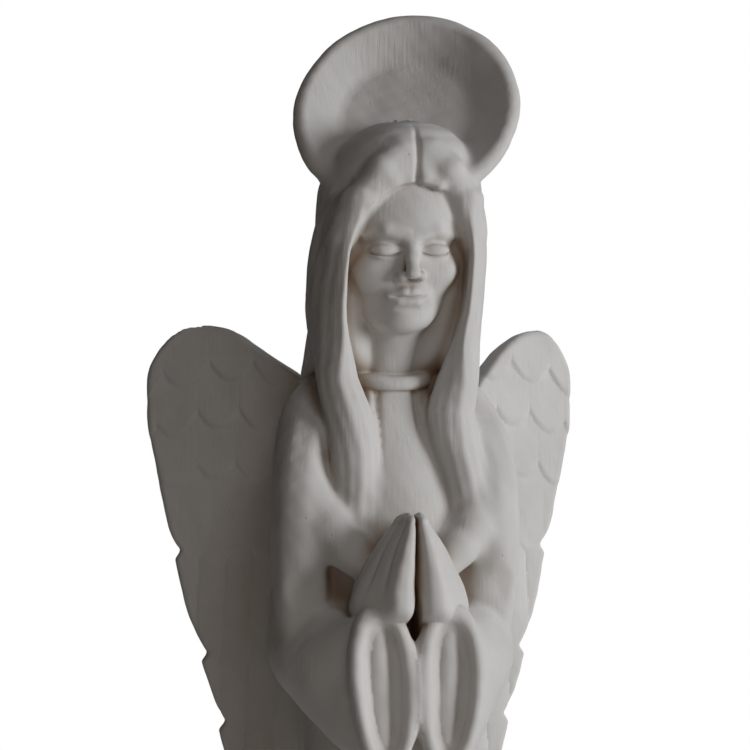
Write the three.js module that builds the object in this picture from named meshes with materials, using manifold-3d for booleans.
// Praying angel figurine: matt off-white resin castings, bonded on steel dowels.
// It stands on a round base with a felt pad.
// Millimetres, +Z up. The figure faces -Y and its right hand is on the -X side.
// The origin is the centre of the felt pad's underside, which the figurine stands on.

import * as THREE from "three";
import { LoftGeometry } from "three/addons/geometries/LoftGeometry.js";
import { mergeVertices } from "three/addons/utils/BufferGeometryUtils.js";
import Module from "manifold-3d";

const wasm = await Module();
wasm.setup();

// ---- driving dimensions ----

const GAP = 0.3; // glue line left between two castings
const TOP = 300; // rim of the halo above the table
const BASE_RADIUS = 38;
const PAD_THICKNESS = 1.5;
const PAD_RADIUS = 36;
const BASE_TOP = 10;
const SPIGOT_HEIGHT = 7;
const CORE_RADIUS = 13; // mouth of the core hole that lightens the robe casting
const CORE_TOP_RADIUS = 5;
const CORE_TOP = 185;
const PLUG_RADIUS = 8.7;
const PLUG_FLANGE_RADIUS = 11.2;
const PLUG_FLANGE_THICKNESS = 2;
const PLUG_TOP = 15;

const HEAD_TILT = THREE.MathUtils.degToRad(4); // the head leans a little to its left
const HEAD_PIVOT_Z = 230;
const HALO_RADIUS = 22.7;
const HALO_RIM = 1.6; // radius of the rounded rim
const HALO_LEAN = THREE.MathUtils.degToRad(30); // the dish leans back from upright
const HALO_TURN = THREE.MathUtils.degToRad(-16); // and is turned to the figure's right
const HALO_TILT_DROP = 0.3; // how far the head's tilt lowers the rim
const HALO_DEPTH = 7.6; // from the dish's flat bottom to the crest of its rim
const HALO_BACK = 4; // thickness behind the flat bottom
const HALO_FLAT_RADIUS = 12.5;
const HALO_SEAT_Y = 8; // the middle of the flat bottom, behind the crown

const DOWEL_RADIUS = 1.2;
const DOWEL_HOLE_RADIUS = DOWEL_RADIUS + GAP;
const HALO_DOWEL_RADIUS = 0.9;
const HALO_DOWEL = { top: 5, bottom: -8 }; // its ends, up the dish from the middle of the flat bottom
const NECK_DOWEL = { y: 0.9, bottom: 209.4, top: 221.4 };
const WING_DOWEL_LENGTH = 7;
const WING_DOWEL_X = 11.5;
const WING_DOWEL_Y = 6.8; // its front end, inside the robe
const WING_DOWEL_HEIGHTS = { upper: 214, lower: 188 };

const WING_ROOT_X = 8;
const WING_SWEEP = THREE.MathUtils.degToRad(24); // the wings open outwards and back
const FEATHER_STEPS = [192, 171, 157, 141, 124, 107]; // heights of the notches between the feather tips
const FEATHER_STEP_DEPTH = 2.2;
const FEATHER_STEP_FADE = 4; // how fast a notch dies away above its tip
const FEATHER_STEP_REACH = 12;

const SIDES = { left: 1, right: -1 }; // the figure's own left is +X

// ---- materials ----

const resin = (name, color, roughness = 0.82) =>
  new THREE.MeshStandardMaterial({ name, color, roughness, metalness: 0 });
const castResin = resin("cast_resin", 0xd9d7d2);
const felt = resin("felt", 0x3b4438, 0.95);
const rubber = resin("rubber", 0x2a2a2a, 0.7);
const steel = new THREE.MeshStandardMaterial({
  name: "steel",
  color: 0xb8bcc0,
  roughness: 0.35,
  metalness: 1,
});

// ---- helpers ----

// The closed solid of a geometry, with the triangles that collapse at a point left out.
function solidOf(geometry) {
  const loose = geometry.index ? geometry.toNonIndexed() : geometry;
  const bare = new THREE.BufferGeometry().setAttribute("position", loose.getAttribute("position"));
  const merged = mergeVertices(bare, 1e-3);
  const corners = merged.index.array;
  const kept = [];
  for (let i = 0; i < corners.length; i += 3) {
    const [a, b, c] = corners.subarray(i, i + 3);
    if (a !== b && b !== c && c !== a) kept.push(a, b, c);
  }
  const vertProperties = merged.attributes.position.array;
  return new wasm.Manifold(new wasm.Mesh({ numProp: 3, vertProperties, triVerts: new Uint32Array(kept) }));
}

// The largest body of a solid, without the slivers that a cut leaves loose.
function largest(solid) {
  return solid.decompose().reduce((a, b) => (a.volume() > b.volume() ? a : b));
}

function geometryOf(solid) {
  const { vertProperties, triVerts, numProp, numVert } = solid.getMesh();
  const positions = new Float32Array(numVert * 3);
  for (let i = 0; i < numVert; i++) {
    positions.set(vertProperties.subarray(i * numProp, i * numProp + 3), i * 3);
  }
  const geometry = new THREE.BufferGeometry();
  geometry.setAttribute("position", new THREE.BufferAttribute(positions, 3));
  geometry.setIndex(new THREE.BufferAttribute(triVerts, 1));
  geometry.computeVertexNormals();
  return geometry;
}

// Catmull-Rom value at parameter t (0 to rows.length - 1) of one column of rows.
function between(rows, column, t) {
  const i = Math.min(Math.floor(t), rows.length - 2);
  const f = t - i;
  const at = (k) => rows[Math.min(Math.max(k, 0), rows.length - 1)][column];
  const [p0, p1, p2, p3] = [at(i - 1), at(i), at(i + 1), at(i + 2)];
  const bend = 2 * p0 - 5 * p1 + 4 * p2 - p3 + (3 * p1 - p0 - 3 * p2 + p3) * f;
  return p1 + 0.5 * f * (p2 - p0 + f * bend);
}

// A closed loft of level oval sections. Each row is [z, x, y, half width, half depth, turn in degrees].
// grow widens every section, and power squares it off (2 is an ellipse).
function stack(rows, options = {}) {
  const { sides = 16, steps = 1, power = 2, grow = 0, flutes = 0, fluteDepth = () => 0 } = options;
  const sections = [];
  const count = (rows.length - 1) * steps;
  for (let k = 0; k <= count; k++) {
    const t = k / steps;
    const [z, x, y] = [0, 1, 2].map((column) => between(rows, column, t));
    const pointed = (k === 0 || k === count) && rows[k ? rows.length - 1 : 0][3] === 0;
    const [w, d] = [3, 4].map((column) => (pointed ? 0 : Math.max(between(rows, column, t), 0.2) + grow));
    const turn = THREE.MathUtils.degToRad(rows[0].length > 5 ? between(rows, 5, t) : 0);
    const ends = k === 0 ? -grow : k === count ? grow : 0;
    sections.push(
      Array.from({ length: sides }, (_, j) => {
        const angle = (j / sides) * 2 * Math.PI;
        const [c, s] = [Math.cos(angle), Math.sin(angle)];
        const ripple = pointed ? 0 : fluteDepth(z) * Math.cos(flutes * angle);
        const px = Math.sign(c) * Math.abs(c) ** (2 / power) * (w + ripple);
        const py = Math.sign(s) * Math.abs(s) ** (2 / power) * (d + ripple);
        return new THREE.Vector3(
          x + px * Math.cos(turn) - py * Math.sin(turn),
          y + px * Math.sin(turn) + py * Math.cos(turn),
          z + ends,
        );
      }),
    );
  }
  return solidOf(new LoftGeometry(sections, { capStart: rows[0][3] > 0, capEnd: rows.at(-1)[3] > 0 }));
}

// Rows for the other side of the body.
const mirrored = (rows, side) =>
  rows.map(([z, x, y, w, d, turn = 0]) => [z, side * x, y, w, d, side * turn]);

// A solid of revolution about +Z. Its [radius, height] points run up the outside and back to the axis.
function turned(points, segments = 48) {
  const profile = points.map(([r, z]) => new THREE.Vector2(r, z));
  return solidOf(new THREE.LatheGeometry(profile, segments).rotateX(Math.PI / 2));
}

// A cylinder from one point to another.
function rod(from, to, radius, segments = 12) {
  const axis = to.clone().sub(from);
  const geometry = new THREE.CylinderGeometry(radius, radius, axis.length(), segments);
  geometry.applyQuaternion(
    new THREE.Quaternion().setFromUnitVectors(new THREE.Vector3(0, 1, 0), axis.clone().normalize()),
  );
  const middle = from.clone().add(to).multiplyScalar(0.5);
  return solidOf(geometry.translate(middle.x, middle.y, middle.z));
}

const point = (x, y, z) => new THREE.Vector3(x, y, z);

// A piece of the head, leaned over about the top of the neck.
const tilted = (solid) =>
  solid
    .translate([0, 0, -HEAD_PIVOT_Z])
    .rotate([0, THREE.MathUtils.radToDeg(HEAD_TILT), 0])
    .translate([0, 0, HEAD_PIVOT_Z]);

const figurine = new THREE.Group();
function add(name, solid, material = castResin) {
  const mesh = new THREE.Mesh(geometryOf(solid), material);
  mesh.name = name;
  figurine.add(mesh);
}

// ---- robe: cored casting from the hem to the neckline ----

const robeRows = [
  [BASE_TOP, 0, 0, 34, 31],
  [16, 0, 0, 34, 31],
  [44, 0, 0, 30, 27],
  [82, 0, 0.2, 25.2, 22.2],
  [120, 0, 0.4, 20.6, 17.8],
  [150, 0, 0.6, 17.4, 14.8],
  [168, 0, 0.8, 16, 13],
  [185, 0, 0.8, 17, 12.6],
  [200, 0, 1, 18.5, 12.6],
  [212, 0, 1.8, 18.8, 12],
  [219, 0, 2.2, 17.2, 10.6],
  [223.5, 0, 2, 12.6, 8.6],
  [225.6, 0, 1.2, 8.4, 7],
];
const ROBE_FLUTES = 12;
const waistFade = (z) => 1.7 * THREE.MathUtils.clamp((160 - z) / 140, 0, 1);

function robeOuter(grow = 0) {
  return stack(robeRows, { sides: 4 * ROBE_FLUTES, grow, flutes: ROBE_FLUTES, fluteDepth: waistFade });
}

function robeCore() {
  return turned([
    [0, BASE_TOP - 1],
    [CORE_RADIUS, BASE_TOP - 1],
    [CORE_RADIUS, BASE_TOP + SPIGOT_HEIGHT + 2],
    [CORE_TOP_RADIUS, CORE_TOP],
    [0, CORE_TOP + CORE_TOP_RADIUS],
  ]);
}

// ---- head, leaned over about the top of the neck ----

const neckRows = [
  [215, 0, 1.2, 4.4, 4.4],
  [232, 0, 0.4, 4.5, 4.6],
];
const headRows = [
  ...neckRows,
  [235.5, 0, -1.4, 5.4, 7],
  [238.5, 0, -2.4, 7.2, 8.8],
  [244, 0, -1.8, 9.6, 10.2],
  [250, 0, -1, 11.2, 11.3],
  [257, 0, 0, 12, 12.2],
  [264, 0, 0.6, 11.8, 12],
  [270, 0, 1.5, 10, 10.5],
  [274, 0, 2, 6.6, 7],
  [276, 0, 2, 0, 0],
];
const noseRows = [
  [245.6, 0, -11.4, 0, 0],
  [246.8, 0, -12, 1.7, 1.9],
  [249, 0, -12.2, 1.3, 1.7],
  [253, 0, -11.6, 0.8, 1],
  [255, 0, -11, 0, 0],
];

function headSolid(grow = 0) {
  const skull = stack(headRows, { sides: 20, grow });
  return tilted(skull.add(stack(noseRows, { sides: 8, grow })));
}

// ---- hair: crown and back in one casting, with two long locks in front ----

const hairRows = [
  [196, 0, 15.4, 0, 0],
  [199, 0, 15.2, 4.4, 2.6],
  [208, 0, 14.4, 6.6, 3.8],
  [218, 0, 12, 10.4, 5.6],
  [225, 0, 9, 15.6, 8],
  [232, 0, 5.6, 16.8, 10.6],
  [241, 0, 3.4, 16.5, 12.6],
  [250, 0, 2.2, 16.5, 13.8],
  [259, 0, 1.4, 16.6, 14.4],
  [266, 0, 1, 16, 14.6],
  [272, 0, 1, 13.6, 13],
  [276.6, 0, 1.6, 8.6, 8.6],
  [279, 0, 2, 0, 0],
];
const faceWindowRows = [
  [219, 0, -12, 6, 12.4],
  [228, 0, -12, 7.4, 12.4],
  [237, 0, -12.6, 9.6, 11.4],
  [244, 0, -13.6, 11.2, 9.4],
  [252, 0, -14, 11.6, 9],
  [259, 0, -14, 10.6, 8.4],
  [264, 0, -14, 7.6, 7],
  [267, 0, -14, 0, 0],
];
const lockRows = [
  [188, 10, -12.2, 0, 0],
  [190, 10, -12, 2.4, 1.5],
  [198, 10.3, -11.4, 3.8, 2.3],
  [210, 10.6, -10.2, 4.2, 2.7],
  [222, 11, -7.8, 4.3, 3],
  [232, 12.2, -7.2, 3.7, 3],
  [242, 13.4, -7.4, 3.2, 3],
  [252, 13.8, -7.6, 3, 2.8],
  [259, 13.2, -7.8, 2.4, 2.2],
  [263, 12.4, -7.6, 0, 0],
];

const hairOuter = (grow = 0) => tilted(stack(hairRows, { sides: 24, grow }));
const faceWindow = () => tilted(stack(faceWindowRows));
const lockOuter = (side, grow = 0) => stack(mirrored(lockRows, side), { sides: 12, grow });

// ---- halo: a shallow dish with a rounded rim, leaning back behind the crown ----

const haloUp = point(0, Math.sin(HALO_LEAN), Math.cos(HALO_LEAN));
const haloNormal = point(0, -Math.cos(HALO_LEAN), Math.sin(HALO_LEAN));
const haloSeatZ =
  TOP +
  HALO_TILT_DROP -
  (HALO_RADIUS - HALO_RIM) * Math.cos(HALO_LEAN) -
  (HALO_DEPTH - HALO_RIM) * Math.sin(HALO_LEAN) -
  HALO_RIM;
const haloSeat = point(0, HALO_SEAT_Y, haloSeatZ);
const haloMouthY = haloSeat.y + haloNormal.y * HALO_DEPTH;

// A piece of the halo, turned about the upright axis through its mouth and leaned over with the head.
const haloPlaced = (solid) =>
  tilted(
    solid
      .translate([0, -haloMouthY, 0])
      .rotate([0, 0, THREE.MathUtils.radToDeg(HALO_TURN)])
      .translate([0, haloMouthY, 0]),
  );

function haloSolid() {
  const rim = Array.from({ length: 5 }, (_, i) => {
    const angle = THREE.MathUtils.degToRad(-30 + i * 52.5);
    return [
      HALO_RADIUS - HALO_RIM + HALO_RIM * Math.cos(angle),
      HALO_DEPTH - HALO_RIM + HALO_RIM * Math.sin(angle),
    ];
  });
  const profile = [
    [0, -HALO_BACK],
    [HALO_FLAT_RADIUS + 1.5, -HALO_BACK],
    [19.4, 0.4],
    ...rim,
    [17.6, 3.2],
    [15.4, 0.9],
    [HALO_FLAT_RADIUS, 0],
    [0, 0],
  ];
  const dish = turned(profile, 36);
  const placed = dish.rotate([90 - THREE.MathUtils.radToDeg(HALO_LEAN), 0, 0]);
  return haloPlaced(placed.translate([haloSeat.x, haloSeat.y, haloSeat.z]));
}

// ---- collar ----

function collarSolid(grow = 0) {
  const ring = new THREE.TorusGeometry(6.5, 1.25 + grow, 8, 20).scale(1.08, 1, 1);
  return solidOf(ring.rotateX(THREE.MathUtils.degToRad(9)).translate(0, 0.3, 227.2));
}

// ---- wings: cambered blades with stepped feather tips and a thick root ----

// Rows are [z, inner edge, outer edge, height behind the middle, half thickness], measured along the blade.
const wingRows = [
  [88, 5, 5, 22, 0],
  [90, 3.4, 7, 21.7, 1],
  [100, 1.4, 10.6, 20.4, 1.6],
  [115, 0, 14.6, 18.4, 2],
  [132, -0.5, 19, 16.4, 2.2],
  [150, -0.5, 23.6, 14, 2.3],
  [165, -0.5, 27.4, 13, 2.4],
  [180, -0.5, 31.4, 13.6, 2.5],
  [195, -0.5, 34.8, 13.4, 2.6],
  [210, -0.5, 37.8, 12.4, 2.7],
  [220, 0.5, 39.4, 12, 2.7],
  [228, 9, 39.6, 12, 2.4],
  [233, 17.5, 37.6, 12, 1.9],
  [236.6, 23.6, 34.4, 12, 1.3],
  [238, 29, 29, 12, 0],
];
const WING_CAMBER = 1.8;

function wingBlade(side, grow = 0) {
  const [c, s] = [Math.cos(WING_SWEEP), Math.sin(WING_SWEEP)];
  const steps = 2;
  const count = (wingRows.length - 1) * steps;
  const around = 12;
  const sections = [];
  for (let k = 0; k <= count; k++) {
    const t = k / steps;
    const [z, inner, outer, back, thick] = [0, 1, 2, 3, 4].map((column) => between(wingRows, column, t));
    const above = FEATHER_STEPS.filter((step) => step < z).map((step) => z - step);
    const nearest = z < FEATHER_STEPS[0] + FEATHER_STEP_REACH ? Math.min(...above) : Infinity;
    const notch = FEATHER_STEP_DEPTH * Math.exp(-nearest / FEATHER_STEP_FADE);
    const half = k === 0 || k === count ? 0 : (outer - notch - inner) / 2 + grow;
    const middle = (outer - notch + inner) / 2;
    const depth = k === 0 || k === count ? 0 : Math.max(thick, 0.3) + grow;
    sections.push(
      Array.from({ length: around }, (_, j) => {
        const angle = (side * j * 2 * Math.PI) / around;
        const along = Math.sign(Math.cos(angle)) * Math.abs(Math.cos(angle)) ** 0.8 * half;
        const bow = WING_CAMBER * (1 - (along / Math.max(half, 1)) ** 2) * Math.min(1, half / 12);
        const across = Math.sign(Math.sin(angle)) * Math.abs(Math.sin(angle)) ** 0.8 * depth + bow;
        const u = middle + along;
        return point(side * (WING_ROOT_X + u * c - across * s * 0.5), back + u * s + across, z);
      }),
    );
  }
  return solidOf(new LoftGeometry(sections));
}

const wingPadRows = [
  [178, 11.5, 11.6, 0, 0],
  [181, 11.5, 11.8, 3.4, 3.2],
  [190, 11.5, 12.2, 4, 4],
  [205, 11.5, 12.2, 4.2, 4.2],
  [216, 11.5, 12, 4, 4],
  [220, 11.5, 11.6, 2.6, 2.6],
  [222, 11.5, 11.4, 0, 0],
];

// ---- sleeves: wide and hanging, with a cuff that opens forwards ----

const sleeveRows = [
  [151, 8.4, -14, 0, 0, 28],
  [152.6, 8.8, -13.2, 4.6, 7.4, 28],
  [158, 10.6, -10.6, 6.6, 12, 28],
  [165, 12.2, -8.6, 7.4, 14.4, 28],
  [172, 13.4, -7.4, 7.8, 15.2, 28],
  [178, 14, -6.2, 7.8, 14.6, 28],
  [184, 15.4, -2.4, 7.4, 11.2, 24],
  [191, 16.6, 0.6, 7, 9.4, 14],
  [200, 16.8, 2.4, 6.8, 9, 8],
  [210, 16.6, 3.2, 6.6, 8.6, 4],
  [217, 16, 3.4, 6, 7.4, 0],
  [222, 15.2, 3.2, 4.2, 5, 0],
  [224, 14.4, 3, 0, 0, 0],
];
const cuffRows = [
  [155.5, 5.8, -24, 0, 0, 14],
  [157, 6, -23.6, 2.4, 3.4, 14],
  [162, 6.4, -23.2, 3.6, 4.8, 14],
  [170, 6.6, -23, 3.8, 5, 14],
  [176, 6.4, -23, 3, 4.2, 14],
  [178.5, 6.2, -23, 0, 0, 14],
];

const sleeveOuter = (side, grow = 0) =>
  stack(mirrored(sleeveRows, side), { sides: 20, power: 2.7, grow }).intersect(
    solidOf(new THREE.BoxGeometry(40, 80, 120).translate(side * (20 + GAP), 0, 190)),
  );

// ---- hands: pressed together at the fingertips, thumbs towards the chest ----

const FINGER_RADIUS = 1.35;
const FINGERS = [
  { y: -24, tip: 196.5 }, // little finger, in front
  { y: -21.4, tip: 200 },
  { y: -18.8, tip: 201.4 },
  { y: -16.2, tip: 199.4 },
];
const KNUCKLES_Z = 184;
const palmRows = [
  [169, 7, -17.2, 3.6, 3.8],
  [174, 6, -18.4, 3.6, 4.2],
  [180, 5, -19.2, 3.7, 4.8],
  [186, 4.1, -19.6, 3.4, 5.2],
  [192, 3, -19.8, 2.4, 4.8],
  [196, 2.2, -19.8, 0, 0],
];

// The palm leans in to the middle, so the palm side's distance from the middle falls with height.
const palmLean = (z) => THREE.MathUtils.mapLinear(z, KNUCKLES_Z, 201, 3.2, 1.75);

function finger(side, y, tip, grow) {
  const rows = [
    [KNUCKLES_Z - 3, side * palmLean(KNUCKLES_Z - 3), y, FINGER_RADIUS, FINGER_RADIUS],
    [(KNUCKLES_Z + tip) / 2, side * palmLean((KNUCKLES_Z + tip) / 2), y, FINGER_RADIUS, FINGER_RADIUS],
    [tip - 1.2, side * palmLean(tip - 1.2), y + 0.4, FINGER_RADIUS * 0.86, FINGER_RADIUS * 0.9],
    [tip, side * palmLean(tip), y + 0.6, 0, 0],
  ];
  return stack(rows, { sides: 8, grow });
}

function handSolid(side, grow = 0) {
  const thumbRows = [
    [178, side * 4.6, -14.8, 1.8, 1.6],
    [186, side * 3.6, -14.2, 1.7, 1.5],
    [192.5, side * 2.6, -14.2, 1.4, 1.3],
    [194.5, side * 2.4, -14.4, 0, 0],
  ];
  let hand = stack(mirrored(palmRows, side), { sides: 12, power: 2.6, grow });
  for (const { y, tip } of FINGERS) hand = hand.add(finger(side, y, tip, grow));
  hand = hand.add(stack(thumbRows, { sides: 8, grow }));
  const ownSide = new THREE.BoxGeometry(30, 60, 60).translate(side * (15 + GAP / 2), -15, 190);
  return hand.intersect(solidOf(ownSide));
}

// ---- assembly ----

const robeShape = robeOuter();
const robeClear = robeOuter(GAP);
const headShape = headSolid();
const headClear = headSolid(GAP);
const hairClear = hairOuter(GAP);
const collarClear = collarSolid(GAP);

// The halo's dowel lies in the thickness of the dish and runs down through the hair into the head.
function haloDowel(radius, extra = 0) {
  const middle = haloSeat.clone().addScaledVector(haloNormal, -HALO_BACK / 2);
  const bottom = middle.clone().addScaledVector(haloUp, HALO_DOWEL.bottom - extra);
  return haloPlaced(rod(bottom, middle.addScaledVector(haloUp, HALO_DOWEL.top + extra), radius));
}

const haloDowelHole = haloDowel(HALO_DOWEL_RADIUS + GAP, GAP);

function neckDowel(radius, extra = 0) {
  const { y, bottom, top } = NECK_DOWEL;
  return rod(point(0, y, bottom - extra), point(0, y, top + extra), radius);
}

const neckDowelHole = neckDowel(DOWEL_HOLE_RADIUS, GAP);

function baseSolid() {
  const edge = [
    [0, PAD_THICKNESS],
    [BASE_RADIUS - 0.8, PAD_THICKNESS],
    [BASE_RADIUS, PAD_THICKNESS + 0.8],
    [BASE_RADIUS, 6.4],
    [BASE_RADIUS - 0.6, 8.4],
    [BASE_RADIUS - 2, BASE_TOP - GAP],
    [CORE_RADIUS - GAP, BASE_TOP - GAP],
    [CORE_RADIUS - GAP, BASE_TOP + SPIGOT_HEIGHT - 1],
    [CORE_RADIUS - GAP - 1, BASE_TOP + SPIGOT_HEIGHT],
    [0, BASE_TOP + SPIGOT_HEIGHT],
  ];
  const hole = turned(
    [
      [0, PAD_THICKNESS - 1],
      [PLUG_FLANGE_RADIUS + GAP, PAD_THICKNESS - 1],
      [PLUG_FLANGE_RADIUS + GAP, PAD_THICKNESS + PLUG_FLANGE_THICKNESS + GAP],
      [PLUG_RADIUS + GAP, PAD_THICKNESS + PLUG_FLANGE_THICKNESS + GAP],
      [PLUG_RADIUS + GAP, BASE_TOP + SPIGOT_HEIGHT + 1],
      [0, BASE_TOP + SPIGOT_HEIGHT + 1],
    ],
    24,
  );
  return turned(edge).subtract(hole);
}

function plugSolid() {
  return turned(
    [
      [0, PAD_THICKNESS],
      [PLUG_FLANGE_RADIUS, PAD_THICKNESS],
      [PLUG_FLANGE_RADIUS, PAD_THICKNESS + PLUG_FLANGE_THICKNESS],
      [PLUG_RADIUS, PAD_THICKNESS + PLUG_FLANGE_THICKNESS],
      [PLUG_RADIUS - 0.7, PLUG_TOP],
      [0, PLUG_TOP],
    ],
    24,
  );
}

function wingDowel(side, z, radius, extra = 0) {
  const from = point(side * WING_DOWEL_X, WING_DOWEL_Y - extra, z);
  return rod(from, point(from.x, WING_DOWEL_Y + WING_DOWEL_LENGTH + extra, z), radius);
}

add("felt_pad", turned([[0, 0], [PAD_RADIUS, 0], [PAD_RADIUS, PAD_THICKNESS], [0, PAD_THICKNESS]]), felt);
add("base_plinth", baseSolid());
add("filler_plug", plugSolid(), rubber);

const dowelHoles = Object.values(SIDES).flatMap((side) =>
  Object.values(WING_DOWEL_HEIGHTS).map((z) => wingDowel(side, z, DOWEL_HOLE_RADIUS, GAP)),
);
let robe = robeShape.subtract(robeCore()).subtract(headClear).subtract(collarClear);
for (const hole of dowelHoles) robe = robe.subtract(hole);
robe = robe.subtract(neckDowelHole);
add("robe", largest(robe));

add("collar_band", collarSolid());
add("head", headShape.subtract(haloDowelHole).subtract(neckDowelHole));
add("neck_dowel", neckDowel(DOWEL_RADIUS), steel);

const hair = hairOuter()
  .subtract(faceWindow())
  .subtract(headClear)
  .subtract(robeClear)
  .subtract(collarClear)
  .subtract(haloDowelHole);
add("hair_crown_and_back", largest(hair));

add("halo", largest(haloSolid().subtract(hairClear).subtract(headClear).subtract(haloDowelHole)));
add("halo_dowel", haloDowel(HALO_DOWEL_RADIUS), steel);

for (const [name, side] of Object.entries(SIDES)) {
  const handClear = handSolid(side, GAP);
  const lock = [hairClear, headClear, robeClear, collarClear].reduce(
    (left, clear) => left.subtract(clear),
    lockOuter(side),
  );
  add(`${name}_hair_lock`, largest(lock));

  const sleeve = sleeveOuter(side)
    .subtract(stack(mirrored(cuffRows, side), { sides: 12 }))
    .subtract(robeClear)
    .subtract(hairClear)
    .subtract(lockOuter(side, GAP))
    .subtract(handClear);
  add(`${name}_sleeve`, largest(sleeve));
  add(`${name}_hand`, handSolid(side));

  let wing = wingBlade(side)
    .add(stack(mirrored(wingPadRows, side), { sides: 12 }))
    .subtract(robeClear)
    .subtract(hairClear)
    .subtract(sleeveOuter(side, GAP));
  for (const hole of dowelHoles) wing = wing.subtract(hole);
  add(`${name}_wing`, largest(wing));
  for (const [level, z] of Object.entries(WING_DOWEL_HEIGHTS))
    add(`${name}_wing_dowel_${level}`, wingDowel(side, z, DOWEL_RADIUS), steel);
}

export default figurine;
